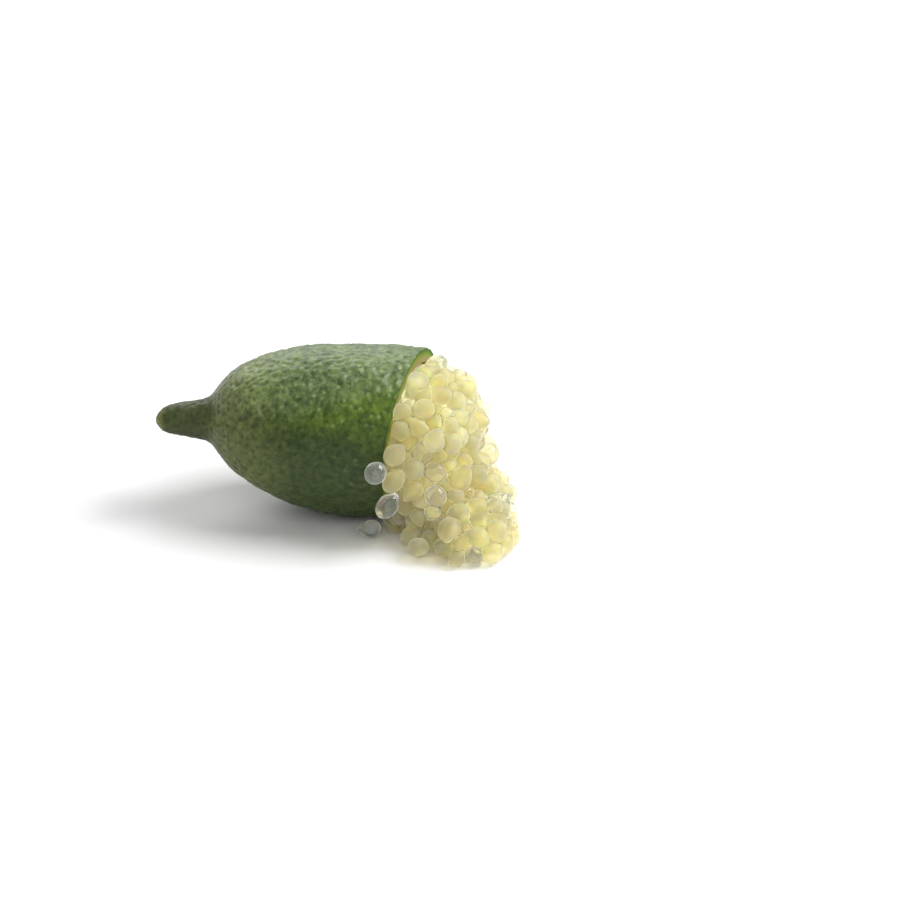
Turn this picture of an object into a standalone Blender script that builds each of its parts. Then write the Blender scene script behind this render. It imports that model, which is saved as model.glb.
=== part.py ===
"""Half of a finger lime, cut across, lying on its side with its juice pearls bulging out of the cut.

Metres, +Z up. +X runs along the fruit, from its neck to its cut. The origin is the middle of the small flat
spot on the belly that the peel rests on.
"""

import math
import random

import bmesh
import bpy
import numpy as np
from mathutils import Matrix, Vector, noise

MM = 0.001

# Peel, as a turned form: a round belly that narrows to a slim neck
BELLY_RADIUS = 10.77 * MM
BELLY_STATION = 26.0 * MM  # from the neck's tip to the widest place
SHOULDER_LENGTH = 19.5 * MM  # from the widest place to where the belly alone would close
SHOULDER_POWER = 2.15
MOUTH_LENGTH = 16.7 * MM  # the same on the cut's side, past the cut
NECK_RADIUS = 1.35 * MM
NECK_FLARE = 0.2  # growth of the neck's radius along it
TIP_LENGTH = 1.6 * MM  # the round end of the neck
NECK_END = 15.0 * MM  # from here on the skin has its full relief
JOIN_SHARPNESS = 6.0  # how closely the neck follows into the belly
WALL = 1.2 * MM
CAVITY_START = 10.5 * MM
TURNED_END = 40.0 * MM  # the turned form runs past the cut, which then trims it
CAVITY_SPAN = (CAVITY_START, TURNED_END + WALL)
PEEL_SIDES = 60
PEEL_STEP = 0.95 * MM
CAVITY_SIDES = 28
CAVITY_STEP = 2.6 * MM

# Unevenness of the skin
NECK_LIFT = 1.45 * MM  # the fruit bends up towards its neck
NECK_LIFT_FROM = 8.0 * MM
NECK_LIFT_TO = 25.0 * MM
PIMPLE_PITCH = 2.7 * MM  # larger than life
PIMPLE_HEIGHT = 0.8 * MM
PIMPLE_SHARE = 0.45  # how far out of a pitch a pimple stands above the mean skin
NECK_PIMPLE_SHARE = 0.35
SWELL_PITCH = 11.0 * MM
SWELL_HEIGHT = 0.3 * MM
SMOOTH_SPOT = (2.5 * MM, 6.0 * MM)  # the relief fades in between these distances from the resting spot

# Rest and cut
AXIS_HEIGHT = 10.55 * MM  # under the belly radius, so that the belly has a small flat spot
CUT_CENTRE = Vector((5.9 * MM, 0.0, AXIS_HEIGHT))
CUT_NORMAL = Vector((1.0, -0.31, -0.088)).normalized()  # the cut faces a little forward and down
KNIFE_SIZE = 80 * MM

# Core of the heap, which the pearls stand out of: a plug in the peel and round forms as (centre, half sizes)
PLUG_GAP = 0.7 * MM
PLUG_END = 28.2 * MM
DOME = ((6.9 * MM, -0.6 * MM, 10.6 * MM), (6.0 * MM, 6.8 * MM, 6.9 * MM))
SLOPE = ((8.6 * MM, -2.4 * MM, 5.4 * MM), (5.3 * MM, 7.2 * MM, 5.6 * MM))
MOUND = ((11.2 * MM, -4.0 * MM, 1.6 * MM), (5.2 * MM, 6.8 * MM, 4.4 * MM))
SPILL = ((13.2 * MM, -9.6 * MM, 1.2 * MM), (3.5 * MM, 4.9 * MM, 2.6 * MM))
CORE_FORMS = (DOME, SLOPE, MOUND, SPILL)
CORE_BASE = 0.8 * MM  # the core ends this far above the floor, and pearls carry it
CORE_BASE_STEP = 0.09 * MM  # each form ends this much higher than the one before it
CORE_SIDES = 18
CORE_RINGS = 10

# Pearls
PEARLS = 86
BED_PEARLS = 12  # under the heap
BED = ((11.9 * MM, -5.0 * MM), (4.3 * MM, 7.4 * MM))
PEARL_RADIUS = (1.55 * MM, 2.1 * MM)
PEARL_SIDES = 7
PEARL_RINGS = 5
PEARL_STRETCH = (1.0, 1.2)
PEARL_TAPER = (0.0, 0.4)
PEARL_STAND = (0.15, 0.75)  # how far a pearl's middle stands off the core, as a share of its radius
BEHIND_CUT = 2.6 * MM  # pearls also fill the mouth this far behind the cut
SCATTER_DEPTH = 0.5 * MM  # places deeper than this inside the core are drawn again
SETTLING_ROUNDS = 260
SETTLING_PUSH = 0.35
SETTLING_PULL = 0.12
SEED = 13
RIM_PEARLS = (  # (place, radius) of those that hang over the near side of the rim, and of a large one at its top
    ((1.8 * MM, -12.8 * MM, 10.7 * MM), 1.5 * MM),
    ((3.95 * MM, -12.2 * MM, 9.3 * MM), 1.4 * MM),
    ((4.05 * MM, -12.2 * MM, 12.75 * MM), 1.5 * MM),
    ((3.15 * MM, -11.8 * MM, 5.8 * MM), 1.5 * MM),
    ((6.0 * MM, -11.1 * MM, 9.4 * MM), 1.75 * MM),
    ((5.9 * MM, -10.9 * MM, 12.3 * MM), 1.75 * MM),
    ((7.0 * MM, -8.5 * MM, 10.9 * MM), 2.1 * MM),
    ((5.5 * MM, -10.3 * MM, 5.0 * MM), 1.85 * MM),
    ((7.3 * MM, -3.0 * MM, 17.6 * MM), 1.75 * MM),
)
LOOSE_PLACE = (1.0 * MM, -8.8 * MM, 1.4 * MM)
LOOSE_RADIUS = 1.42 * MM
LOOSE_STRETCH = 1.18
LOOSE_TAPER = 0.4
LOOSE_WAY = (-0.97, -0.2, 0.05)  # where its narrow end points
GAP = 0.3 * MM
TINY = 0.01 * MM
SHARP_ANGLE = math.radians(40.0)
FLOOR_SINK = 0.06 * MM

PEEL_GREEN = (0.085, 0.17, 0.035)
PEARL_CREAM = (0.76, 0.72, 0.42)


def clear_scene():
    for thing in list(bpy.data.objects):
        bpy.data.objects.remove(thing)


def collection(name):
    made = bpy.data.collections.new(name)
    bpy.context.scene.collection.children.link(made)
    return made


def finish_material(name, colour, roughness):
    material = bpy.data.materials.new(name)
    material.use_nodes = True
    shader = material.node_tree.nodes["Principled BSDF"]
    shader.inputs["Base Color"].default_value = (*colour, 1.0)
    shader.inputs["Roughness"].default_value = roughness
    shader.inputs["Metallic"].default_value = 0.0
    return material


def add_object(name, mesh, where):
    thing = bpy.data.objects.new(name, mesh)
    where.objects.link(thing)
    return thing


def as_cutter(thing):
    thing.hide_render = True
    thing.display_type = "WIRE"
    return thing


def settle_modifiers(thing):
    """Makes the object's evaluated mesh its own, with its modifiers gone."""
    bpy.context.view_layer.update()
    graph = bpy.context.evaluated_depsgraph_get()
    made = bpy.data.meshes.new_from_object(thing.evaluated_get(graph))
    thing.modifiers.clear()
    thing.data = made
    return thing


def shade(thing):
    """Smooth shading with crisp cut edges."""
    thing.data.shade_smooth()
    thing.data.set_sharp_from_angle(angle=SHARP_ANGLE)


def boolean(thing, operation, other, solver="EXACT"):
    modifier = thing.modifiers.new(f"{operation.lower()}_{other.name}", "BOOLEAN")
    modifier.operation = operation
    modifier.solver = solver
    if isinstance(other, bpy.types.Collection):
        modifier.operand_type = "COLLECTION"
        modifier.collection = other
    else:
        modifier.object = other
    return modifier


def shells_of(form):
    """The connected groups of faces of a bmesh."""
    groups, left = [], set(form.faces)
    while left:
        group, edge_of_group = set(), [left.pop()]
        while edge_of_group:
            face = edge_of_group.pop()
            group.add(face)
            for edge in face.edges:
                for other in edge.link_faces:
                    if other in left:
                        left.discard(other)
                        edge_of_group.append(other)
        groups.append(group)
    return groups


def keep_main_shell(mesh):
    """Fills the hollows that fused pearls close off and drops loose scraps: the largest shell stays."""
    form = bmesh.new()
    form.from_mesh(mesh)
    bmesh.ops.triangulate(form, faces=form.faces)

    def volume(group):
        corners = [[vertex.co for vertex in face.verts] for face in group]
        return sum(a.dot(b.cross(c)) for a, b, c in corners) / 6.0

    groups = shells_of(form)
    main_shell = max(groups, key=volume)
    bmesh.ops.delete(form, geom=[f for g in groups if g is not main_shell for f in g], context="FACES")
    form.to_mesh(mesh)
    form.free()


def smooth_step(low, high, value):
    share = min(1.0, max(0.0, (value - low) / (high - low)))
    return share * share * (3.0 - 2.0 * share)


def peel_radius(station):
    """Outer radius of the turned form, this far from the neck's tip."""
    tip = min(1.0, max(0.0, station / TIP_LENGTH))
    neck = (NECK_RADIUS + NECK_FLARE * station) * math.sqrt(1.0 - (1.0 - tip) ** 2)
    back = station - BELLY_STATION
    if back < 0.0:
        share = min(1.0, -back / SHOULDER_LENGTH) ** SHOULDER_POWER
    else:
        share = min(1.0, back / MOUTH_LENGTH) ** 2
    belly = BELLY_RADIUS * math.sqrt(1.0 - share)
    return (neck**JOIN_SHARPNESS + belly**JOIN_SHARPNESS) ** (1.0 / JOIN_SHARPNESS)


def axis_height(station):
    """Height of the fruit's middle line above the floor: level along the belly, raised at the neck."""
    return AXIS_HEIGHT + NECK_LIFT * (1.0 - smooth_step(NECK_LIFT_FROM, NECK_LIFT_TO, station))


def profile(start, end, step, inset):
    """(station, radius) points about one step apart along the outline, closed on the axis at both ends."""
    points = [(start, 0.0)]
    station = start
    while station < end:
        if peel_radius(station) - inset > 0.0:
            points.append((station, peel_radius(station) - inset))
        ahead = min(step, end - station) * 0.5
        slope = (peel_radius(station + ahead) - peel_radius(station)) / ahead
        station += step / math.sqrt(1.0 + slope * slope)
    points.append((end, peel_radius(end) - inset))
    points.append((end, 0.0))
    if points[1] == points[0]:
        points.pop(1)
    return points


def turned(name, span, inset, step, sides, where):
    """The peel's outline, drawn in by the inset, turned about the fruit's bent middle line along +X."""
    mesh = bpy.data.meshes.new(name)
    # Beside the axis the neck's end is at the bottom, so the outline is listed from the top down.
    corners = [(radius, 0.0, station) for station, radius in reversed(profile(*span, step, inset))]
    mesh.from_pydata(corners, [(i, i + 1) for i in range(len(corners) - 1)], [])
    thing = add_object(name, mesh, where)
    screw = thing.modifiers.new("turn", "SCREW")
    screw.axis = "Z"
    screw.steps = screw.render_steps = sides
    screw.use_merge_vertices = True
    screw.merge_threshold = 0.001 * MM
    settle_modifiers(thing)
    lie = Matrix.Rotation(math.pi / 2, 4, "Y")
    thing.data.transform(Matrix.Translation((-BELLY_STATION, 0.0, 0.0)) @ lie)
    for vertex in thing.data.vertices:
        vertex.co.z += axis_height(vertex.co.x + BELLY_STATION)
    return thing


def block(name, face_point, outward, where):
    """A large block behind a plane: its one face passes through the point, and it lies on the outward side."""
    bpy.ops.mesh.primitive_cube_add(size=KNIFE_SIZE)
    thing = bpy.context.object
    thing.name = name
    turn = Vector((0.0, 0.0, 1.0)).rotation_difference(outward)
    place = Vector(face_point) + outward * (KNIFE_SIZE / 2)
    thing.data.transform(Matrix.Translation(place) @ turn.to_matrix().to_4x4())
    for home in thing.users_collection:
        home.objects.unlink(thing)
    where.objects.link(thing)
    return as_cutter(thing)


def roughen(peel):
    """Raises pimples and slow swells on the turned skin."""
    for vertex in peel.data.vertices:
        place = vertex.co
        station = place.x + BELLY_STATION
        out = Vector((0.0, place.y, place.z - axis_height(station)))
        if out.length < TINY:
            out = Vector((-1.0, 0.0, 0.0))
        out.normalize()
        nearest = noise.voronoi(place / PIMPLE_PITCH)[0][0]
        grown = smooth_step(0.0, NECK_END, station)
        fine = NECK_PIMPLE_SHARE + (1.0 - NECK_PIMPLE_SHARE) * grown
        pimple = PIMPLE_HEIGHT * (PIMPLE_SHARE - nearest) * fine
        swell = SWELL_HEIGHT * noise.noise(place / SWELL_PITCH) * grown
        relief = (pimple + swell) * smooth_step(*SMOOTH_SPOT, place.length)
        vertex.co = place + out * relief


def make_peel(parts, cutters, knife, floor):
    peel = turned("peel", (0.0, TURNED_END), 0.0, PEEL_STEP, PEEL_SIDES, parts)
    roughen(peel)
    shade(peel)
    cavity = turned("peel_cavity", CAVITY_SPAN, WALL, CAVITY_STEP, CAVITY_SIDES, cutters)
    as_cutter(cavity)
    boolean(peel, "DIFFERENCE", cavity)
    boolean(peel, "DIFFERENCE", knife)
    boolean(peel, "DIFFERENCE", floor)
    peel.data.materials.append(finish_material("peel_skin", PEEL_GREEN, 0.4))
    return peel


def clear_of_peel(places, reach):
    """Moves each place, whose pearl needs this reach, off the walls of the cut peel."""
    normal = np.array(CUT_NORMAL)
    ahead = (places - np.array(CUT_CENTRE)) @ normal
    across = places[:, 1:] - np.array([0.0, AXIS_HEIGHT])
    spoke = np.linalg.norm(across, axis=1)
    beside = places[:, 0] - normal[0] * np.maximum(ahead, 0.0)
    outer = np.array([peel_radius(x + BELLY_STATION) for x in beside])
    inner = outer - WALL
    unit = across / np.maximum(spoke, 1e-9)[:, None]
    # Behind the cut plane a pearl is either in the mouth or outside the skin.
    in_mouth = (ahead < 0.0) & (spoke < (inner + outer) / 2)
    outside = (ahead < 0.0) & ~in_mouth
    wanted = np.where(in_mouth, np.minimum(spoke, inner - reach), spoke)
    wanted = np.where(outside, np.maximum(spoke, outer + reach), wanted)
    places[:, 1:] += unit * (wanted - spoke)[:, None]
    # Ahead of the plane it keeps its reach from the nearest place on the rim.
    on_rim = np.clip(spoke, inner, outer)
    side = spoke - on_rim
    gap = np.hypot(np.maximum(ahead, 0.0), side)
    short = (ahead >= 0.0) & (gap < reach)
    push = np.where(short, reach - gap, 0.0)
    share = 1.0 / np.maximum(gap, 1e-9)
    places += normal * (push * np.maximum(ahead, 0.0) * share + push * (gap < 1e-6))[:, None]
    places[:, 1:] += unit * (push * side * share)[:, None]


def off_core(places):
    """(distance from the nearest core form, outward direction) at each place, near enough."""
    nearest = np.full(len(places), np.inf)
    outward = np.zeros_like(places)
    for centre, half in CORE_FORMS:
        away = places - np.array(centre)
        scaled = np.linalg.norm(away / np.array(half), axis=1)
        slope = away / np.array(half) ** 2
        steep = np.linalg.norm(slope, axis=1)
        distance = scaled * (scaled - 1.0) / np.maximum(steep, 1e-9)
        closer = distance < nearest
        nearest = np.where(closer, distance, nearest)
        outward[closer] = (slope / np.maximum(steep, 1e-9)[:, None])[closer]
    return nearest, outward


def scatter(draw):
    """Starting places of the pearls: a bed under the heap, then the core's forms, in front of the cut."""
    turn = math.pi * (3.0 - math.sqrt(5.0))
    middle, half = BED
    places = []
    for number in range(BED_PEARLS):
        share = math.sqrt((number + 0.5) / BED_PEARLS)
        x = middle[0] + half[0] * share * math.cos(number * turn)
        y = middle[1] + half[1] * share * math.sin(number * turn)
        places.append(np.array([x, y, 0.0]))
    surface = [math.prod(half) ** (2 / 3) for _, half in CORE_FORMS]
    while len(places) < BED_PEARLS + PEARLS:
        centre, half = draw.choices(CORE_FORMS, surface)[0]
        way = np.array([draw.gauss(0.0, 1.0) for _ in range(3)])
        place = np.array(centre) + np.array(half) * way / np.linalg.norm(way)
        ahead = (place - np.array(CUT_CENTRE)) @ np.array(CUT_NORMAL)
        off, _ = off_core(place[None, :])
        if ahead > -BEHIND_CUT and place[2] > CORE_BASE and off[0] > -SCATTER_DEPTH:
            places.append(place)
    return np.array(places)


def settle_pearls():
    """(place, radius, stretch) of each pearl: they crowd onto the core, push apart and clear the peel."""
    draw = random.Random(SEED)
    places = scatter(draw)
    count = len(places)
    bed = np.arange(count) < BED_PEARLS
    radii = np.array([draw.uniform(*PEARL_RADIUS) for _ in range(count)])
    stretch = np.array([draw.uniform(*PEARL_STRETCH) for _ in range(count)])
    stand = radii * np.array([draw.uniform(*PEARL_STAND) for _ in range(count)])
    reach = radii * stretch + GAP
    loose_room = LOOSE_RADIUS * LOOSE_STRETCH + PEARL_RADIUS[1] * (PEARL_STRETCH[1] - 1.0) + 2.0 * GAP
    held = np.array([place for place, _ in RIM_PEARLS] + [LOOSE_PLACE])
    held_radii = np.array([radius for _, radius in RIM_PEARLS] + [loose_room])
    every_radius = np.concatenate([radii, held_radii])
    least = every_radius[:, None] + every_radius[None, :]
    for _ in range(SETTLING_ROUNDS):
        every = np.concatenate([places, held])
        apart = every[:, None, :] - every[None, :, :]
        distance = np.linalg.norm(apart, axis=2)
        np.fill_diagonal(distance, np.inf)
        overlap = np.maximum(0.0, least - distance)
        push = (apart / distance[:, :, None] * overlap[:, :, None]).sum(axis=1) * SETTLING_PUSH
        places += push[:count]
        off, outward = off_core(places)
        pull = np.where(off < stand, off - stand, (off - stand) * SETTLING_PULL)
        places -= outward * np.where(bed, 0.0, pull)[:, None]
        clear_of_peel(places, reach)
        on_floor = radii - FLOOR_SINK
        places[:, 2] = np.where(bed, on_floor, np.maximum(places[:, 2], on_floor))
    off, outward = off_core(places)
    adrift = np.maximum(0.0, off - radii * PEARL_STAND[1])
    places -= outward * np.where(bed, 0.0, adrift)[:, None]
    settled = list(zip(places, radii, stretch))
    settled += [(place, radius, 1.0) for place, radius in RIM_PEARLS]
    return settled, draw


def pearl(name, place, radius, stretch, taper, way, where):
    """A juice pearl: a small drop whose narrow end points the given way."""
    form = bmesh.new()
    bmesh.ops.create_uvsphere(form, u_segments=PEARL_SIDES, v_segments=PEARL_RINGS, radius=radius)
    for vertex in form.verts:
        share = vertex.co.z / radius
        narrow = 1.0 - taper * smooth_step(-0.2, 1.0, share)
        vertex.co.x *= narrow
        vertex.co.y *= narrow
        vertex.co.z *= stretch
    turn = Vector((0.0, 0.0, 1.0)).rotation_difference(Vector(way)).to_matrix().to_4x4()
    form.transform(Matrix.Translation(place) @ turn)
    mesh = bpy.data.meshes.new(name)
    form.to_mesh(mesh)
    form.free()
    return add_object(name, mesh, where)


def ellipsoid(name, centre, half, base, where):
    """A round form with a flat base."""
    bpy.ops.mesh.primitive_uv_sphere_add(segments=CORE_SIDES, ring_count=CORE_RINGS, radius=1.0)
    thing = bpy.context.object
    thing.name = name
    thing.data.transform(Matrix.Translation(centre) @ Matrix.Diagonal((*half, 1.0)))
    for vertex in thing.data.vertices:
        vertex.co.z = max(vertex.co.z, base)
    for home in thing.users_collection:
        home.objects.unlink(thing)
    where.objects.link(thing)
    return thing


def make_heap(parts, repeats, keep_clear, floor):
    plug_span = (CAVITY_START + PLUG_GAP, PLUG_END)
    heap = turned("pearl_heap", plug_span, WALL + PLUG_GAP, CAVITY_STEP, CORE_SIDES, parts)
    for number, (centre, half) in enumerate(CORE_FORMS):
        ellipsoid(f"core_{number}", centre, half, CORE_BASE + number * CORE_BASE_STEP, repeats)
    pearls, draw = settle_pearls()
    for number, (place, radius, stretch) in enumerate(pearls):
        way = Vector([draw.gauss(0.0, 1.0) for _ in range(3)]).normalized()
        taper = 0.0 if stretch == 1.0 else draw.uniform(*PEARL_TAPER)
        pearl(f"pearl_{number}", place, radius, stretch, taper, way, repeats)
    boolean(heap, "UNION", repeats)
    settle_modifiers(heap)
    for thing in list(repeats.objects):
        bpy.data.objects.remove(thing)
    boolean(heap, "DIFFERENCE", keep_clear)
    boolean(heap, "DIFFERENCE", floor)
    settle_modifiers(heap)
    keep_main_shell(heap.data)
    shade(heap)
    heap.data.materials.append(finish_material("pearl_flesh", PEARL_CREAM, 0.2))
    return heap


def make_keep_clear(cutters):
    """The room that the heap leaves free: the peel's wall, grown by the gap on every side."""
    proud = PIMPLE_HEIGHT * PIMPLE_SHARE + SWELL_HEIGHT / 2 + GAP
    keep_clear = turned("keep_clear", (0.0, TURNED_END), -proud, CAVITY_STEP, CAVITY_SIDES, cutters)
    inside = turned("keep_clear_inside", CAVITY_SPAN, WALL + GAP, CAVITY_STEP, CAVITY_SIDES, cutters)
    far_knife = block("far_knife", CUT_CENTRE + CUT_NORMAL * GAP, CUT_NORMAL, cutters)
    boolean(keep_clear, "DIFFERENCE", inside, "MANIFOLD")
    boolean(keep_clear, "DIFFERENCE", far_knife, "MANIFOLD")
    as_cutter(inside)
    return as_cutter(keep_clear)


def make_loose_pearl(parts, floor):
    loose = pearl("loose_pearl", LOOSE_PLACE, LOOSE_RADIUS, LOOSE_STRETCH, LOOSE_TAPER, LOOSE_WAY, parts)
    lowest = min(vertex.co.z for vertex in loose.data.vertices)
    loose.data.transform(Matrix.Translation((0.0, 0.0, -lowest - FLOOR_SINK)))
    shade(loose)
    loose.data.materials.append(bpy.data.materials["pearl_flesh"])
    boolean(loose, "DIFFERENCE", floor)
    return loose


def main():
    clear_scene()
    parts = collection("finger_lime_half")
    cutters = collection("cutters")
    repeats = collection("repeats")
    knife = block("knife", CUT_CENTRE, CUT_NORMAL, cutters)
    floor = block("floor", (0.0, 0.0, 0.0), Vector((0.0, 0.0, -1.0)), cutters)
    make_peel(parts, cutters, knife, floor)
    make_heap(parts, repeats, make_keep_clear(cutters), floor)
    make_loose_pearl(parts, floor)


main()
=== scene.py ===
"""Looks of the cut finger lime: its pebbled green peel and the wet pearls heaped out of the cut."""

import math
import random

import bpy
import numpy as np
from mathutils import Matrix, Vector, kdtree, noise


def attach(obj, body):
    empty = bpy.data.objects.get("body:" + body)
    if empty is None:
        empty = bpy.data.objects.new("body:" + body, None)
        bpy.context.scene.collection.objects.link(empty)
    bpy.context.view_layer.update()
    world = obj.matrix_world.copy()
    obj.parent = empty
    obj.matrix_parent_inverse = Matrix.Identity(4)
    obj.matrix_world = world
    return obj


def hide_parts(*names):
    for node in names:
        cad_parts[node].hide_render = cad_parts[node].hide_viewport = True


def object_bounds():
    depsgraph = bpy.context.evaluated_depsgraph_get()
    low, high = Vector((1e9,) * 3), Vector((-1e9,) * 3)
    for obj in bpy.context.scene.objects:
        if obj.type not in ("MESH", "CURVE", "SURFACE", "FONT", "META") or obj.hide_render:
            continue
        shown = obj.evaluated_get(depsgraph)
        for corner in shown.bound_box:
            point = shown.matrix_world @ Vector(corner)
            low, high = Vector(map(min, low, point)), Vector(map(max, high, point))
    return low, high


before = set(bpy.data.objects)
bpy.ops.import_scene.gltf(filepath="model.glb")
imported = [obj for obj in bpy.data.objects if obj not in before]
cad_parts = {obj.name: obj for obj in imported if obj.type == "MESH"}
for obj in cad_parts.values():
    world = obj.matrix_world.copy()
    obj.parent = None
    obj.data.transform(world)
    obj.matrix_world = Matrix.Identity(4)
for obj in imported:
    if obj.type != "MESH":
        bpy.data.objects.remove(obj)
CAD_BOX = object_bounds()

MM = 0.001

# Peel, as a turned form: a round belly that narrows to a slim neck
BELLY_RADIUS = 10.77 * MM
BELLY_STATION = 26.0 * MM  # from the neck's tip to the widest place
SHOULDER_LENGTH = 19.5 * MM
SHOULDER_POWER = 2.15
MOUTH_LENGTH = 16.7 * MM
NECK_RADIUS = 1.35 * MM
NECK_FLARE = 0.2
TIP_LENGTH = 1.6 * MM
JOIN_SHARPNESS = 6.0
WALL = 1.65 * MM
CAVITY_START = 10.5 * MM
AXIS_HEIGHT = 10.55 * MM
NECK_LIFT = 1.45 * MM
NECK_LIFT_SPAN = (8.0 * MM, 25.0 * MM)
CUT_CENTRE = Vector((5.9 * MM, 0.0, AXIS_HEIGHT))
CUT_NORMAL = Vector((1.0, -0.31, -0.088)).normalized()
CUT_STATION = BELLY_STATION + CUT_CENTRE.x

# How the peel is laid out in rings
PEEL_SIDES = 84
SKIN_RINGS = 46
SKIN_LENGTH = 38.0 * MM  # along the outline, near enough
TIP_START = 0.02 * MM
LEAN_START = 12.0 * MM  # from here on the rings lean towards the cut's plane
LEAN_ROUNDS = 8
OUTLINE_STEPS = 2000
RIM_DEPTHS = (0.05 * MM, 0.3 * MM, 0.8 * MM, 1.3 * MM, 1.6 * MM)
LINING_RINGS = 7
FINE_LEVELS = 2

# Relief of the skin
GLAND_PITCH = 0.98 * MM
GLAND_SEED = 3
GLAND_SCATTER = (0.42, 0.5)  # round the fruit and along it, as shares of the pitch
PIT_DEPTH = 0.08 * MM
PIT_REACH = (0.04 * MM, 0.54 * MM)
GRAIN_PITCH = 0.36 * MM
GRAIN_HEIGHT = 0.055 * MM
PEBBLE_PITCH = 0.68 * MM
PEBBLE_HEIGHT = 0.13 * MM
SKIN_RISE = 0.1 * MM
LUMP_PITCH = 3.1 * MM
LUMP_HEIGHT = 0.16 * MM
SWELL_PITCH = 11.0 * MM
SWELL_HEIGHT = 0.3 * MM
SMOOTH_SPOT = (2.5 * MM, 6.0 * MM)
NECK_END = 15.0 * MM
RIM_FADE = 0.35 * MM  # the relief dies away this deep in the cut face
NECK_PEBBLE = 0.3  # share of the pebbles' height that is left on the neck
ON_AXIS = 0.01 * MM
TINY = 1e-9

# Greens of the skin; a pair is the darker and the paler end of its mottling
BELLY_DARK = ((0.024, 0.058, 0.002), (0.07, 0.125, 0.006))
BELLY_LIGHT = ((0.05, 0.095, 0.002), (0.13, 0.2, 0.012))
# Painted shade: darker greens for the fruit's low side, away from the lights
PAINTED_SHADE_LOW_SIDE = ((0.023, 0.042, 0.008), (0.054, 0.08, 0.018))
# The shoulder's pale net, brightened as painted light on the upper shoulder
SHOULDER_NET_AND_PAINTED_LIGHT = ((0.14, 0.185, 0.03), (0.34, 0.42, 0.085))
# Painted sheen: a pale grey-green laid over the crown
PAINTED_SHEEN_CROWN = (0.2, 0.27, 0.12)
# Dark oil glands, also painted shade in their sunken pits
DARK_GLAND_AND_PIT_SHADE = (0.018, 0.034, 0.005)
# Pale gland specks, also painted glints
PALE_GLAND_AND_GLINT = (0.25, 0.32, 0.1)
# A greyer painted shade for the low side of the shoulder
PAINTED_SHADE_LOW_SHOULDER = (0.12, 0.12, 0.065)
NECK_GREEN = (0.036, 0.05, 0.014)
# Painted shade: a darker, greyer green under the neck
PAINTED_SHADE_NECK_UNDERSIDE = (0.03, 0.032, 0.013)
TIP_OLIVE = (0.36, 0.36, 0.09)

# Colours through the wall, from the skin's edge to the lining, by depth over WALL_SHADES_DEPTH
WALL_SHADES_DEPTH = 1.4  # in millimetres, as the depth attribute is
WALL_SHADES = (
    (0.0, (0.045, 0.1, 0.003)),
    (0.1, (0.08, 0.16, 0.005)),
    (0.22, (0.15, 0.24, 0.01)),
    (0.36, (0.18, 0.25, 0.012)),
    (0.55, (0.25, 0.24, 0.05)),
    (1.0, (0.33, 0.28, 0.11)),
)

# Core of the heap, as round forms: (centre, half sizes)
DOME = ((6.9 * MM, -0.6 * MM, 10.6 * MM), (6.0 * MM, 6.8 * MM, 6.9 * MM))
SLOPE = ((8.6 * MM, -2.4 * MM, 5.4 * MM), (5.3 * MM, 7.2 * MM, 5.6 * MM))
MOUND = ((11.2 * MM, -4.0 * MM, 1.6 * MM), (5.2 * MM, 6.8 * MM, 4.4 * MM))
SPILL = ((13.2 * MM, -9.6 * MM, 1.2 * MM), (3.5 * MM, 4.9 * MM, 2.6 * MM))
CORE_FORMS = (DOME, SLOPE, MOUND, SPILL)
CORE_INSET = 1.5 * MM  # the smooth core under the pearls is this much smaller than the forms
CORE_LOWEST = 0.6 * MM
CORE_STEP = 0.07 * MM  # each form's underside is this much higher than the last one's
CORE_SEGMENTS = 40
CORE_RINGS = 24

# Plug of pressed pearls that fills the peel's mouth
PLUG_START = 12.2 * MM
PLUG_STEPS = 12
PLUG_SIDES = 48
PLUG_GAP = 0.03 * MM
PLUG_SETBACK = 0.5 * MM

# Pearls
SEED = 7
OUTER_PEARLS = 205
INNER_PEARLS = 95
BED_PEARLS = 22
BED = ((12.0 * MM, -5.0 * MM), (4.2 * MM, 7.4 * MM))
PEARL_RADIUS = (1.15 * MM, 1.7 * MM)
OUTER_STAND = (0.85 * MM, 1.5 * MM)  # how far the middles of the outer pearls stand off the core
INNER_STAND = (-1.0 * MM, -0.5 * MM)
BEHIND_CUT = 2.6 * MM
SETTLING_ROUNDS = 240
SETTLING_PUSH = 0.35
SETTLING_PULL = 0.2
CROWDING = 0.8  # pearls may press into each other by this share of their radii
DROP_SEGMENTS = 10
DROP_RINGS = 7
PRESS_GAP = 0.03 * MM
PRESS_ROUND = 0.1 * MM
FLOOR_GAP = 0.02 * MM
PEEL_GAP = 0.25 * MM
LOOSE_ROOM = 1.5  # the heap keeps this many radii clear of the loose pearl
LEAST_OFF_CORE = -0.5 * MM
NEIGHBOUR_REACH = 1.25
CLEAR_SHARE = 0.15
# Below this band of heights pearls take more of the deep colour, so the heap grows darker and warmer towards
# the floor
WARM_BELOW = (8.0 * MM, 14.0 * MM)
WARM_BELOW_SHARE = 0.5
BLUSH_MIDDLE = -0.2
BLUSH_SPREAD = 0.45
CORE_TINT = 0.6
CORE_BLUSH = 0.5
LOOSE_TINT = 0.2

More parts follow.
